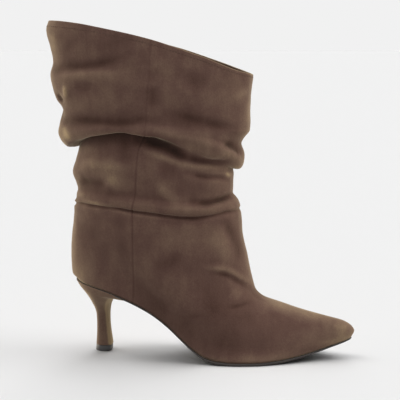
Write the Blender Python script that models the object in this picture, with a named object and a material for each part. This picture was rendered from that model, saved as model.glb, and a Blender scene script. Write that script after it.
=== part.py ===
# Slouch boot: a right pull-on boot in suede, with a pointed toe and a slim covered heel.
# The upper is a skin through loops, from the feather edge on the sole up to the collar.

import math
from collections import namedtuple

import bmesh
import bpy
import numpy as np

# Sizes are in millimetres. Length runs from the back of the heel (0) to the toe (+X), the outer side
# of the boot faces -Y, the inner side faces +Y, and the floor is at height zero.
METRE = 0.001
GAP = 0.3                  # clearance between pieces that touch

# Sole outline and profile
HEEL_BACK = 4.0            # where the sole ends under the heel
TOE_TIP = 252.0            # where the sole ends under the toe
HEEL_SEAT_ROUND = 25.0     # radius of the outline at the heel
TOE_ROUND = 4.5            # radius of the outline at the toe
TOE_SWING = 5.0            # the toe turns this far to the inner side
SWING_START = 100.0        # where that turn begins
SOLE_EDGE = 0.6            # the sole stands this far out of the upper
SOLE_CHAMFER = 0.4         # lower edge of the sole, trimmed back
SEAT_THICK = 1.0           # sole under the heel
TREAD_THICK = 2.2          # sole under the ball
SEAT_END = 100.0           # the sole thickens from here
TREAD_START = 140.0        # to here
TOE_THICK = 1.0            # sole at the toe
TREAD_END = 185.0          # the sole thins out from here to the toe

# Wall and insole
WALL = 1.9                 # suede and lining together
INSOLE_THICK = 2.0

# Heel and its tip
TIP_HEIGHT = 5.4
HEEL_FRONT_FLAT = 0.62     # how square the breast of the heel is, from 0 (round) to 1

# Fineness of the meshes
AROUND_UPPER = 48
AROUND_HEEL = 32
LOOP_STEP = 9.0            # longest step between loops of the upper
SHARP_EDGE = 40.0          # degrees between faces from which an edge stays crisp

# Half widths each side of the middle line, and the height of the tread, from heel to toe.
Station = namedtuple("Station", "along outer inner tread")
STATIONS = (
    Station(along=18, outer=21.8, inner=21.8, tread=63.4),
    Station(along=34, outer=26.2, inner=26.0, tread=59.4),
    Station(along=50, outer=27.4, inner=26.0, tread=53.6),
    Station(along=64, outer=27.6, inner=24.8, tread=47.4),
    Station(along=78, outer=28.2, inner=24.2, tread=39.6),
    Station(along=90, outer=29.6, inner=24.8, tread=30.9),
    Station(along=102, outer=32.0, inner=26.8, tread=20.5),
    Station(along=113, outer=34.6, inner=29.4, tread=11.2),
    Station(along=124, outer=36.4, inner=32.0, tread=4.0),
    Station(along=136, outer=38.6, inner=35.0, tread=0.0),
    Station(along=152, outer=39.0, inner=37.4, tread=0.0),
    Station(along=170, outer=36.6, inner=36.8, tread=0.0),
    Station(along=186, outer=31.4, inner=32.6, tread=0.8),
    Station(along=202, outer=24.6, inner=26.2, tread=2.9),
    Station(along=220, outer=16.6, inner=18.0, tread=7.0),
    Station(along=238, outer=9.6, inner=10.4, tread=12.2),
)
TREAD_AT_HEEL = 66.4
TREAD_AT_TOE = 16.8

# Each loop of the upper: where it crosses the back and the front of the boot in side view, its half
# widths, how much of the sole's sag and of a plain oval it has, and how far it is lifted or lowered
# on the way from back (0) to front (180 degrees) at each of the LIFT_ANGLES, or at each of the
# LIP_ANGLES where the edge of the lip arches. The inner side follows the outer one, unless a loop has
# lifts of its own there.
LIFT_ANGLES = (0, 30, 60, 90, 120, 150, 180)
LIP_ANGLES = (0, 15, 30, 45, 60, 75, 90, 120, 150, 180)
LEVEL = (0.0, 0.0, 0.0, 0.0, 0.0)
CREASE_LIFT = (3.0, 2.5, -1.2, -4.3, -0.9)
LIP_LIFT = (4.6, 10.4, 15.8, 20.8, 24.2, 22.6, 14.0, 6.5)
LIP_FOOT_LIFT = (4.4, 9.3, 14.8, 20.2, 24.2, 22.6, 14.0, 6.5)
LIP_EDGE_LIFT = (3.2, 7.6, 12.4, 17.4, 21.2, 20.3, 13.6, 6.3)
Loop = namedtuple("Loop", "name back back_z front front_z outer inner sag oval lift inner_lift",
                  defaults=(0.0, 1.0, LEVEL, None))
LOOPS = (
    Loop("feather", 4.6, 68.6, 251.9, 18.4, 38.0, 38.0, 1.0, 0.0),
    Loop("toe nose", 0.0, 72.8, 254.3, 23.6, 38.0, 38.0, 0.96, 0.03),
    Loop("toe top", -0.7, 81.0, 252.4, 27.6, 38.0, 38.0, 0.91, 0.08),
    Loop("toe box", -0.9, 88.0, 245.5, 32.3, 38.0, 38.0, 0.84, 0.15),
    Loop("low vamp", -0.8, 96.0, 229.0, 36.7, 38.0, 38.0, 0.75, 0.27),
    Loop("vamp", -0.3, 103.5, 210.0, 41.6, 38.0, 38.0, 0.65, 0.4),
    Loop("high vamp", 0.2, 110.0, 191.0, 47.4, 38.0, 38.0, 0.54, 0.53),
    Loop("instep", 1.0, 115.5, 175.5, 52.2, 38.0, 38.0, 0.43, 0.66),
    Loop("throat", 1.6, 119.5, 166.2, 60.2, 38.2, 37.8, 0.32, 0.77),
    Loop("high throat", 2.0, 122.5, 162.6, 72.5, 38.6, 38.0, 0.22, 0.86),
    Loop("ankle", 2.3, 125.5, 158.8, 91.0, 39.0, 38.4, 0.13, 0.93),
    Loop("high ankle", 2.4, 128.5, 154.7, 112.0, 39.0, 38.4, 0.05, 0.98, (1.2, 1.0, -0.6, -2.0, -0.4)),
    Loop("under crease", 2.3, 132.0, 153.3, 129.2, 38.9, 38.2, lift=CREASE_LIFT),
    Loop("crease", 4.0, 135.0, 151.8, 133.4, 36.6, 36.0, lift=CREASE_LIFT),
    Loop("roll foot", 2.7, 136.8, 152.7, 135.6, 38.9, 38.2, lift=CREASE_LIFT),
    Loop("roll", 4.2, 139.8, 150.8, 140.4, 39.2, 38.4, lift=(2.9, 2.4, -1.2, -4.4, -1.4)),
    Loop("roll top", 5.2, 143.2, 148.0, 144.8, 38.0, 37.2, lift=(2.7, 1.8, -1.0, -4.4, -2.8)),
    Loop("tuck", 6.2, 146.8, 146.4, 147.6, 36.8, 36.0, lift=(2.6, 1.6, -0.8, -4.2, -3.6)),
    Loop("low bulge", 4.4, 152.8, 146.0, 151.2, 38.2, 37.4, lift=(3.2, 4.2, 3.0, -0.8, -2.2)),
    Loop("bulge", 1.6, 163.0, 146.2, 156.8, 39.8, 38.8, lift=(4.4, 10.4, 11.4, 5.0, 1.0)),
    Loop("high bulge", 4.8, 174.0, 146.4, 162.2, 38.6, 37.8, lift=(4.6, 15.6, 18.2, 10.4, 4.2)),
    Loop("pocket", 7.8, 185.4, 145.4, 167.8, 35.6, 35.0, lift=LIP_LIFT),
    Loop("lip under", 3.2, 184.4, 149.0, 166.6, 38.6, 37.8, lift=LIP_LIFT),
    Loop("lip foot", -2.0, 184.6, 152.0, 167.0, 41.4, 40.4, lift=LIP_FOOT_LIFT),
    Loop("lip edge", -7.2, 189.4, 154.6, 171.0, 43.2, 42.0, lift=LIP_EDGE_LIFT),
    Loop("lip", -10.3, 199.0, 155.8, 179.6, 43.6, 42.4, lift=(2.0, 10.8, 15.4, 11.2, 5.0)),
    Loop("front notch", -9.3, 206.4, 152.8, 189.8, 42.4, 41.2, lift=(-0.6, 4.9, 9.7, 7.4, 2.9)),
    Loop("trough", -6.3, 222.8, 160.4, 202.6, 40.4, 39.4, lift=(-6.4, -7.4, -2.2, -0.2, -0.5)),
    Loop("back fold", -13.1, 231.8, 160.9, 211.0, 41.4, 40.4, lift=(-4.0, -4.4, 0.2, 0.8, 0.0)),
    Loop("back ridge", -17.2, 250.4, 161.0, 225.0, 41.6, 40.6, lift=(-2.4, -0.4, 3.4, 2.4, 0.6)),
    Loop("band notch", -14.2, 262.4, 161.3, 233.0, 40.0, 39.2, lift=(-1.8, 3.0, 6.4, 3.6, 0.8)),
    Loop("band", -17.2, 275.0, 162.0, 240.6, 39.4, 38.6, lift=(0.4, 5.2, 7.4, 4.2, 1.0)),
    Loop("high band", -20.4, 288.4, 162.8, 246.6, 38.2, 37.5,
         lift=(2.8, 6.8, 8.6, 5.4, 1.0), inner_lift=(1.4, 5.0, 5.4, 3.0, 0.7)),
    Loop("collar", -18.2, 295.2, 163.0, 249.6, 37.6, 37.0,
         lift=(3.8, 7.6, 9.3, 6.1, 1.1), inner_lift=(2.0, 5.5, 5.4, 2.9, 0.7)),
)
INNER_LIFT = 0.85          # the folds of the inner side slope a little less
INNER_TURN = 10.0          # and lie a little further round, in degrees

# Rows of the heel, from the seat down to its tip: back and front in side view and half width.
Row = namedtuple("Row", "back back_z front front_z half")
HEEL_ROWS = (
    Row(back=6.0, back_z=62.6, front=56.0, front_z=49.6, half=24.6),
    Row(back=9.0, back_z=59.2, front=47.6, front_z=51.4, half=23.6),
    Row(back=12.2, back_z=55.4, front=41.4, front_z=51.0, half=21.8),
    Row(back=15.2, back_z=50.8, front=37.7, front_z=48.4, half=18.8),
    Row(back=17.6, back_z=45.8, front=35.0, front_z=44.8, half=15.2),
    Row(back=20.0, back_z=40.2, front=33.5, front_z=39.6, half=11.6),
    Row(back=21.3, back_z=33.7, front=33.1, front_z=33.7, half=8.8),
    Row(back=21.5, back_z=25.2, front=33.4, front_z=25.2, half=7.1),
    Row(back=21.3, back_z=16.7, front=34.2, front_z=16.7, half=6.8),
    Row(back=21.0, back_z=11.0, front=35.0, front_z=11.0, half=7.1),
    Row(back=20.6, back_z=TIP_HEIGHT + GAP, front=35.6, front_z=TIP_HEIGHT + GAP, half=7.7),
)
SEAT_BACK = 4.4
SEAT_FRONT = 60.4
SEAT_HALF = 26.2
TIP_ROWS = (
    Row(back=20.9, back_z=TIP_HEIGHT, front=35.2, front_z=TIP_HEIGHT, half=7.4),
    Row(back=20.2, back_z=0.6, front=35.0, front_z=0.6, half=7.5),
    Row(back=20.8, back_z=0.0, front=34.4, front_z=0.0, half=6.9),
)

Finish = namedtuple("Finish", "colour roughness")
SUEDE = Finish(colour=(0.092, 0.056, 0.042), roughness=0.95)
SOLE_RESIN = Finish(colour=(0.035, 0.027, 0.024), roughness=0.6)
SOCK = Finish(colour=(0.16, 0.11, 0.075), roughness=0.7)
TIP_RUBBER = Finish(colour=(0.02, 0.02, 0.021), roughness=0.55)


def through(at, knots, values):
    # A smooth curve through the rows of a table that never swings past them.
    knots = np.asarray(knots, float)
    values = np.asarray(values, float)
    spread = (slice(None),) + (None,) * (values.ndim - 1)
    step = np.diff(knots)[spread]
    rise = np.diff(values, axis=0) / step
    slope = np.concatenate([rise[:1], np.zeros_like(rise[1:]), rise[-1:]])
    before, after = rise[:-1], rise[1:]
    same_way = before * after > 0
    weight_before = 2 * step[1:] + step[:-1]
    weight_after = step[1:] + 2 * step[:-1]
    safe_before = np.where(same_way, before, 1.0)
    safe_after = np.where(same_way, after, 1.0)
    mean = (weight_before + weight_after) / (weight_before / safe_before + weight_after / safe_after)
    slope[1:-1] = np.where(same_way, mean, 0.0)
    at = np.atleast_1d(at)
    row = np.clip(np.searchsorted(knots, at, side="right") - 1, 0, len(knots) - 2)
    width = np.diff(knots)[row]
    part = ((at - knots[row]) / width)[spread]
    width = width[spread]
    rest = 1 - part
    ends = values[row] * (1 + 2 * part) * rest ** 2 + values[row + 1] * (1 + 2 * rest) * part ** 2
    bends = (slope[row] * rest - slope[row + 1] * part) * width * part * rest
    return ends + bends


def tread(along):
    knots = [HEEL_BACK] + [s.along for s in STATIONS] + [TOE_TIP]
    heights = [TREAD_AT_HEEL] + [s.tread for s in STATIONS] + [TREAD_AT_TOE]
    return through(along, knots, heights)


def sole_top(along):
    growing = np.clip((along - SEAT_END) / (TREAD_START - SEAT_END), 0, 1)
    thinning = np.clip((along - TREAD_END) / (TOE_TIP - TREAD_END), 0, 1)
    thick = SEAT_THICK + (TREAD_THICK - SEAT_THICK) * growing - (TREAD_THICK - TOE_THICK) * thinning
    return tread(along) + thick


def middle_line(along):
    part = np.maximum((along - SWING_START) / (TOE_TIP - SWING_START), 0)
    return TOE_SWING * part ** 2


def fullness(share, side):
    # Half width of the sole over the sine of the angle, so that heel and toe close in true arcs.
    length = TOE_TIP - HEEL_BACK
    shares = np.array([(s.along - HEEL_BACK) / length for s in STATIONS])
    halves = np.array([getattr(s, side) for s in STATIONS])
    full = halves / np.sqrt(4 * shares * (1 - shares))
    at_heel = math.sqrt(HEEL_SEAT_ROUND * length / 2)
    at_toe = math.sqrt(TOE_ROUND * length / 2)
    return through(share, np.r_[0, shares, 1], np.r_[at_heel, full, at_toe])


def angles_around(count):
    return np.arange(count) * 2 * math.pi / count


def by_side(angles, outer, inner):
    return np.where(np.sin(angles) >= 0, outer, inner)


def sole_half(along, angles):
    # Half width of the sole at a place along it, on the side that each angle lies on.
    share = np.clip((along - HEEL_BACK) / (TOE_TIP - HEEL_BACK), 0, 1)
    full = by_side(angles, fullness(share, "outer"), fullness(share, "inner"))
    return full * np.sqrt(4 * share * (1 - share))


def sole_outline(angles, inset):
    # Points of the sole's outline in plan, moved inwards by the inset.
    along = HEEL_BACK + (TOE_TIP - HEEL_BACK) * (1 - np.cos(angles)) / 2
    across = middle_line(along) - np.sign(np.sin(angles)) * sole_half(along, angles)
    back = np.stack([np.roll(along, 1), np.roll(across, 1)], axis=1)
    ahead = np.stack([np.roll(along, -1), np.roll(across, -1)], axis=1)
    run = ahead - back
    run /= np.linalg.norm(run, axis=1, keepdims=True)
    return np.stack([along - inset * run[:, 1], across + inset * run[:, 0]], axis=1)


def lift_at(degrees, table):
    knots = LIFT_ANGLES if len(table) + 2 == len(LIFT_ANGLES) else LIP_ANGLES
    return through(degrees, knots, np.r_[0, table, 0])


def loop_points(loop, angles):
    share = (1 - np.cos(angles)) / 2
    sine = np.sin(angles)
    along = loop.back + (loop.front - loop.back) * share
    sole_along = HEEL_BACK + (TOE_TIP - HEEL_BACK) * share
    chord = sole_top(HEEL_BACK) + (sole_top(TOE_TIP) - sole_top(HEEL_BACK)) * share
    sag = loop.sag * (sole_top(sole_along) - chord)
    degrees = np.degrees(angles)
    inner_degrees = np.clip(360 - degrees + INNER_TURN * sine, 0, 180)
    inner_table = loop.inner_lift or [lift * INNER_LIFT for lift in loop.lift]
    outer_lift = lift_at(np.clip(degrees, 0, 180), loop.lift)
    inner_lift = lift_at(inner_degrees, inner_table)
    height = loop.back_z + (loop.front_z - loop.back_z) * share + sag
    height = height + by_side(angles, outer_lift, inner_lift)
    foot_half = by_side(angles, fullness(share, "outer"), fullness(share, "inner")) - SOLE_EDGE
    oval_half = by_side(angles, loop.outer, loop.inner)
    half = foot_half + (oval_half - foot_half) * loop.oval
    across = middle_line(along) - half * sine
    return np.stack([along, across, height], axis=1)


def skin(angles, longest_step):
    # All loops, with further ones in between wherever two of them lie far apart.
    rows = np.array([loop_points(loop, angles) for loop in LOOPS])
    steps = np.linalg.norm(np.diff(rows, axis=0), axis=2).mean(axis=1)
    knots = np.r_[0, np.cumsum(steps)]
    at = [0.0]
    for start, step in zip(knots, steps):
        count = math.ceil(step / longest_step)
        at += [start + step * (i + 1) / count for i in range(count)]
    return through(at, knots, rows)


def outward(grid):
    # Unit normals of a grid of loops that runs round the boot and upwards.
    round_run = np.roll(grid, -1, axis=1) - np.roll(grid, 1, axis=1)
    up_run = np.gradient(grid, axis=0)
    normal = np.cross(round_run, up_run)
    return normal / np.linalg.norm(normal, axis=2, keepdims=True)


def add_solid(name, finish, points, faces):
    mesh = bpy.data.meshes.new(name)
    mesh.from_pydata([tuple(p) for p in np.asarray(points) * METRE], [], faces)
    body = bmesh.new()
    body.from_mesh(mesh)
    bmesh.ops.recalc_face_normals(body, faces=body.faces)
    body.to_mesh(mesh)
    body.free()
    mesh.shade_smooth()
    mesh.set_sharp_from_angle(angle=math.radians(SHARP_EDGE))
    material = bpy.data.materials.new(name)
    material.use_nodes = True
    shader = material.node_tree.nodes["Principled BSDF"]
    shader.inputs["Base Color"].default_value = finish.colour + (1.0,)
    shader.inputs["Roughness"].default_value = finish.roughness
    shader.inputs["Metallic"].default_value = 0.0
    mesh.materials.append(material)
    solid = bpy.data.objects.new(name, mesh)
    bpy.context.scene.collection.objects.link(solid)
    return solid


def band_faces(rows, around, start=0):
    # Quads between neighbouring loops of a stack.
    faces = []
    for row in range(rows - 1):
        for i in range(around):
            j = (i + 1) % around
            low, high = start + row * around, start + (row + 1) * around
            faces.append((low + i, low + j, high + j, high + i))
    return faces


def ladder_faces(around, start):
    # A cap across a loop, with a rung between each pair of opposite points.
    half = around // 2
    faces = [(start, start + 1, start + around - 1)]
    for i in range(1, half - 1):
        faces.append((start + i, start + i + 1, start + around - i - 1, start + around - i))
    faces.append((start + half - 1, start + half, start + half + 1))
    return faces


def add_stack(name, finish, loops):
    # A solid through a stack of loops, capped at both ends.
    rows, around = len(loops), len(loops[0])
    faces = band_faces(rows, around)
    faces += ladder_faces(around, 0)
    faces += ladder_faces(around, (rows - 1) * around)
    return add_solid(name, finish, np.concatenate(loops), faces)


def make_upper():
    angles = angles_around(AROUND_UPPER)
    outside = skin(angles, LOOP_STEP)
    outside[0, :, 2] = sole_top(outside[0, :, 0]) + GAP
    inside = outside - WALL * outward(outside)
    inside[0, :, 2] = sole_top(inside[0, :, 0]) + GAP
    inside[-1, :, 2] = outside[-1, :, 2]
    rows = len(outside)
    count = rows * AROUND_UPPER
    faces = band_faces(rows, AROUND_UPPER)
    faces += band_faces(rows, AROUND_UPPER, count)
    for i in range(AROUND_UPPER):
        j = (i + 1) % AROUND_UPPER
        top = count - AROUND_UPPER
        faces.append((i, j, count + j, count + i))
        faces.append((top + i, top + j, count + top + j, count + top + i))
    points = np.concatenate([outside.reshape(-1, 3), inside.reshape(-1, 3)])
    return add_solid("upper", SUEDE, points, faces)


def plate_loop(angles, inset, height):
    plan = sole_outline(angles, inset)
    return np.column_stack([plan, height(plan[:, 0])])


def make_outsole():
    angles = angles_around(AROUND_UPPER)
    loops = [
        plate_loop(angles, 0.0, sole_top),
        plate_loop(angles, 0.0, lambda along: tread(along) + SOLE_CHAMFER),
        plate_loop(angles, SOLE_CHAMFER, tread),
    ]
    return add_stack("outsole", SOLE_RESIN, loops)


def make_insole():
    angles = angles_around(AROUND_UPPER)
    inset = SOLE_EDGE + WALL + 2 * GAP
    loops = [
        plate_loop(angles, inset, lambda along: sole_top(along) + GAP),
        plate_loop(angles, inset, lambda along: sole_top(along) + GAP + INSOLE_THICK),
    ]
    return add_stack("insole", SOCK, loops)


def heel_loop(row, angles):
    share = (1 - np.cos(angles)) / 2
    along = row.back + (row.front - row.back) * share
    sine = np.sin(angles)
    squareness = 1 - HEEL_FRONT_FLAT * share
    across = -row.half * np.sign(sine) * np.abs(sine) ** squareness
    height = row.back_z + (row.front_z - row.back_z) * share
    return np.column_stack([along, across, height])


def make_heel():
    angles = angles_around(AROUND_HEEL)
    seat = heel_loop(Row(SEAT_BACK, 0.0, SEAT_FRONT, 0.0, SEAT_HALF), angles)
    room = sole_half(seat[:, 0], angles) - GAP
    seat[:, 1] = np.clip(seat[:, 1], -room, room)
    seat[:, 2] = tread(seat[:, 0]) - GAP
    return add_stack("heel", SUEDE, [seat] + [heel_loop(row, angles) for row in HEEL_ROWS])


def make_heel_tip():
    angles = angles_around(AROUND_HEEL)
    return add_stack("heel_tip", TIP_RUBBER, [heel_loop(row, angles) for row in TIP_ROWS])


def centre_on_floor(solids):
    # The part's origin is the middle of its box, on the floor.
    corners = np.array([v.co for solid in solids for v in solid.data.vertices])
    middle = (corners.min(axis=0) + corners.max(axis=0)) / 2
    for solid in solids:
        for vertex in solid.data.vertices:
            vertex.co.x -= middle[0]
            vertex.co.y -= middle[1]


def main():
    for old in list(bpy.data.objects):
        bpy.data.objects.remove(old, do_unlink=True)
    centre_on_floor([make_upper(), make_outsole(), make_insole(), make_heel(), make_heel_tip()])


main()
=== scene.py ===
import math
import bmesh
import bpy
import numpy as np
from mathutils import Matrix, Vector, noise


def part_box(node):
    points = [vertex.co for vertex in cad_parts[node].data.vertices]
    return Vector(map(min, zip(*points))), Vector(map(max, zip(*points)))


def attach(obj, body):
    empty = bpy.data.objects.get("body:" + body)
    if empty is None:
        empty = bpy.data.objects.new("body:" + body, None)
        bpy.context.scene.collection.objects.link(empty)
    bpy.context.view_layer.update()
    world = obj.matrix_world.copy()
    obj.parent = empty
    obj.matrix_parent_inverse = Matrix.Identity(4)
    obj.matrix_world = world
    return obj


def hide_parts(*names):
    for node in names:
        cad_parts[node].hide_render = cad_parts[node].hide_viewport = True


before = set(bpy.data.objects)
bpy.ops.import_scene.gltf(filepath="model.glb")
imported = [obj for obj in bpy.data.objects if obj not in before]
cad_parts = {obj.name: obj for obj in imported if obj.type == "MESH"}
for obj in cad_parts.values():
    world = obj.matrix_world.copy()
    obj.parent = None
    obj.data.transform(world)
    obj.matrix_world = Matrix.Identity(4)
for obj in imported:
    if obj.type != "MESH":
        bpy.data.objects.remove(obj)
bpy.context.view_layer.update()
print("frame loaded:", ", ".join(sorted(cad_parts)))

# Shapes below are in millimetres: x from the back of the heel to the toe, outer side at -y, floor at z 0.
tipBack = 20.2     # where the heel tip begins along the boot
tipLow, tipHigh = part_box("heel_tip")
shift = np.array([tipLow[0] * 1000 - tipBack, (tipLow[1] + tipHigh[1]) * 500, 0.0])


def toMetres(points):
    return (np.asarray(points, float) + shift) / 1000


def addObject(name, data):
    holder = bpy.data.objects.new(name, data)
    bpy.context.scene.collection.objects.link(holder)
    return holder


def feed(tree, node, **inputs):
    # Sets inputs by number or name, or links them to a socket or to the first output of another node.
    for key, value in inputs.items():
        numbered = key[0] == "n" and key[1:].isdigit()
        socket = node.inputs[int(key[1:]) if numbered else key.replace("_", " ")]
        if isinstance(value, bpy.types.Node):
            value = value.outputs[0]
        if isinstance(value, bpy.types.NodeSocket):
            tree.links.new(value, socket)
        else:
            socket.default_value = value
    return node


def put(tree, kind, settings=None, **inputs):
    made = tree.nodes.new(kind)
    for key, value in (settings or {}).items():
        setattr(made, key, value)
    return feed(tree, made, **inputs)


def calc(tree, operation, *values, clamp=False):
    inputs = {"n" + str(i): value for i, value in enumerate(values)}
    return put(tree, "ShaderNodeMath", {"operation": operation, "use_clamp": clamp}, **inputs)


# Camera, light and floor

view = {"target": (116.2, 139.9), "turn": 7, "height": 277, "away": 900, "mmPerPixel": 0.8865, "pixels": 400,
        "sensor": 36, "nearest": 0.01}


def makeCamera():
    along, level = view["target"]
    rise = math.atan2(view["height"] - level, view["away"])
    distance = view["away"] / math.cos(rise) / 1000
    turn = math.radians(view["turn"])
    target = Vector(((along + shift[0]) / 1000, 0.0, level / 1000))
    back = Vector((math.sin(turn) * math.cos(rise), -math.cos(turn) * math.cos(rise), math.sin(rise)))
    camera = bpy.data.cameras.new("camera")
    camera.sensor_width = view["sensor"]
    camera.lens = view["sensor"] * distance * 1000 / view["mmPerPixel"] / view["pixels"]
    camera.clip_start = view["nearest"]
    holder = addObject("camera", camera)
    holder.location = target + back * distance
    holder.rotation_euler = (-back).to_track_quat("-Z", "Y").to_euler()
    bpy.context.scene.camera = holder


light = {
    "surround": 0.10,       # white all round, as in a light tent
    "backdrop": 0.8795,     # the same white as the camera sees it
    "rimTint": (1.0, 0.93, 0.76),
    "overBoot": ("floorTop", "floorBehind", "floorLeft", "floorRight"),
    "lowPieces": ("outsole_resin", "heel_cover", "heel_tip_rubber"),     # all that stands in the way of those four
    "suns": (     # name, direction it comes from, strength, softness in degrees, what it lights
        ("tentWhite", (0, 0, 1), 0.60, 170, "boot"),
        ("sunKey", (0.80, -0.18, 1), 1.10, 40, "boot"),
        ("sunTop", (0.04, -0.22, 1), 1.80, 54, "boot"),
        ("fillFront", (-0.35, -1, 0.40), 0.40, 120, "boot"),
        ("rimLeft", (-1, 0.36, 0.22), 3.2, 34, "boot"),
        ("rimRight", (1, 0.44, 0.24), 1.8, 30, "boot"),
        ("floorLow", (0.95, 0.10, 1), 0.57, 30, "floor"),
        ("floorTop", (0, 0.05, 1), 0.33, 30, "floor"),
        ("floorBehind", (0, 1.8, 1), 1.80, 50, "floor"),
        ("floorLeft", (-0.90, 0.28, 1), 1.28, 50, "floor"),
        ("floorRight", (0.35, 0.45, 1), 0.78, 50, "floor"),
    ),
}
lit = {name: bpy.data.collections.new(name + "Pieces") for name in ("boot", "floor", "low")}


def makeLight():
    world = bpy.data.worlds.new("lightTent")
    world.use_nodes = True
    tree = world.node_tree
    white = (1.0, 1.0, 1.0, 1.0)
    sky = feed(tree, tree.nodes["Background"], Color=white, Strength=light["surround"])
    seen = put(tree, "ShaderNodeBackground", Color=white, Strength=light["backdrop"])
    rays = put(tree, "ShaderNodeLightPath")
    both = put(tree, "ShaderNodeMixShader", n0=rays.outputs["Is Camera Ray"], n1=sky, n2=seen)
    feed(tree, tree.nodes["World Output"], Surface=both)
    bpy.context.scene.world = world
    for name, fromWhere, strength, softness, target in light["suns"]:
        lamp = bpy.data.lights.new(name, "SUN")
        lamp.energy = strength
        lamp.angle = math.radians(softness)
        if name.startswith("rim"):
            lamp.color = light["rimTint"]
        holder = addObject(name, lamp)
        holder.rotation_euler = Vector(fromWhere).to_track_quat("Z", "Y").to_euler()
        holder.light_linking.receiver_collection = lit[target]
        if name in light["overBoot"]:
            holder.light_linking.blocker_collection = lit["low"]


floor = {"half": 40.0, "white": 0.785}     # half its length in metres, how pale it is


def makeFloor():
    mesh = bpy.data.meshes.new("floor")
    half = floor["half"]
    mesh.from_pydata([(-half, -half, 0), (half, -half, 0), (half, half, 0), (-half, half, 0)], [], [(0, 1, 2, 3)])
    paper = bpy.data.materials.new("paperSweep")
    paper.use_nodes = True
    feed(paper.node_tree, paper.node_tree.nodes["Principled BSDF"], Base_Color=(floor["white"],) * 3 + (1.0,),
         Roughness=1.0, Specular_IOR_Level=0.0)
    mesh.materials.append(paper)
    sheet = addObject("floor", mesh)
    lit["floor"].objects.link(sheet)


bpy.context.scene.view_settings.view_transform = "Standard"
makeCamera()
makeLight()
makeFloor()
print("camera, light and floor set")


# Shader groups that the materials share

def newGroup(name, inputs, outputs):
    # The input without a number is the place on the surface.
    group = bpy.data.node_groups.new(name, "ShaderNodeTree")
    for label, value in inputs.items():
        kind = "NodeSocketVector" if value is None else "NodeSocketFloat"
        socket = group.interface.new_socket(label, in_out="INPUT", socket_type=kind)
        if value is not None:
            socket.default_value = value
    for label in outputs:
        group.interface.new_socket(label, in_out="OUTPUT", socket_type="NodeSocketFloat")
    return group, group.nodes.new("NodeGroupInput").outputs, group.nodes.new("NodeGroupOutput")


def makeNapGroup():
    # Brushed nap: soft mottling, streaks along the brushing, and fine fibres.
    group, given, result = newGroup(
        "brushedNap", {"Vector": None, "Mottle": 40.0, "Streak": 90.0, "Fibre": 1400.0}, ("Tone", "Height"))
    place = given["Vector"]
    leaned = put(group, "ShaderNodeMapping", Vector=place, Rotation=(0.0, 0.35, 0.0), Scale=(1.0, 1.0, 0.28))
    mottle = put(group, "ShaderNodeTexNoise", Vector=place, Scale=given["Mottle"],
                 Detail=5.0, Roughness=0.62, Distortion=0.5)
    streak = put(group, "ShaderNodeTexNoise", Vector=leaned, Scale=given["Streak"], Detail=4.0, Roughness=0.6)
    fibre = put(group, "ShaderNodeTexNoise", Vector=place, Scale=given["Fibre"], Detail=3.0, Roughness=0.8)
    soft, brushed, speck = (calc(group, "MULTIPLY_ADD", texture, gain, -gain / 2)
                            for texture, gain in ((mottle, 1.5), (streak, 1.15), (fibre, 1.2)))
    tone = calc(group, "ADD", calc(group, "ADD", soft, brushed), speck)
    feed(group, result, Tone=tone, Height=calc(group, "MULTIPLY_ADD", streak, 0.35, fibre))
    return group


def makeScuffGroup():
    # Fine pits and a few soft scuffs for moulded and leather surfaces.
    group, given, result = newGroup(
        "scuffs", {"Vector": None, "Grain": 900.0, "Scuff": 60.0}, ("Tone", "Roughness", "Height"))
    place = given["Vector"]
    grain = put(group, "ShaderNodeTexVoronoi", {"feature": "SMOOTH_F1"}, Vector=place, Scale=given["Grain"],
                Smoothness=0.6)
    cloud = put(group, "ShaderNodeTexNoise", Vector=place, Scale=given["Scuff"], Detail=5.0, Roughness=0.65)
    rub = put(group, "ShaderNodeMapRange", Value=cloud, From_Min=0.38, From_Max=0.72)
    rough = put(group, "ShaderNodeMapRange", Value=rub, To_Min=0.42, To_Max=0.72)
    feed(group, result, Tone=calc(group, "ADD", rub, -0.4), Roughness=rough, Height=grain.outputs["Distance"])
    return group


napGroup = makeNapGroup()
scuffGroup = makeScuffGroup()


def startMaterial(name):
    made = bpy.data.materials.new(name)
    made.use_nodes = True
    tree = made.node_tree
    return made, tree, tree.nodes["Principled BSDF"], put(tree, "ShaderNodeTexCoord").outputs["Object"]


def paint(tree, shader, tone, stops, height, strength, depth):
    # Colour from the tone by way of a ramp, and a fine bump.
    ramp = put(tree, "ShaderNodeValToRGB", Fac=tone)
    marks = ramp.color_ramp.elements
    while len(marks) < len(stops):
        marks.new(0.5)
    for mark, (place, colour) in zip(marks, stops):
        mark.position = place
        mark.color = colour + (1.0,)
    bump = put(tree, "ShaderNodeBump", Strength=strength, Distance=depth, Height=height)
    feed(tree, shader, Base_Color=ramp, Normal=bump)


suedeLook = {
    "stops": ((0.0, (0.024, 0.012, 0.009)), (0.25, (0.054, 0.026, 0.0195)), (0.50, (0.092, 0.050, 0.039)),
              (0.72, (0.148, 0.094, 0.065)), (1.0, (0.285, 0.202, 0.116))),
    "mottle": 0.24, "sheen": 0.45, "sheenRough": 0.42, "sheenTint": (0.95, 0.78, 0.53, 1.0), "bump": 0.28,
    "depth": 0.0006,
}


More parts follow.
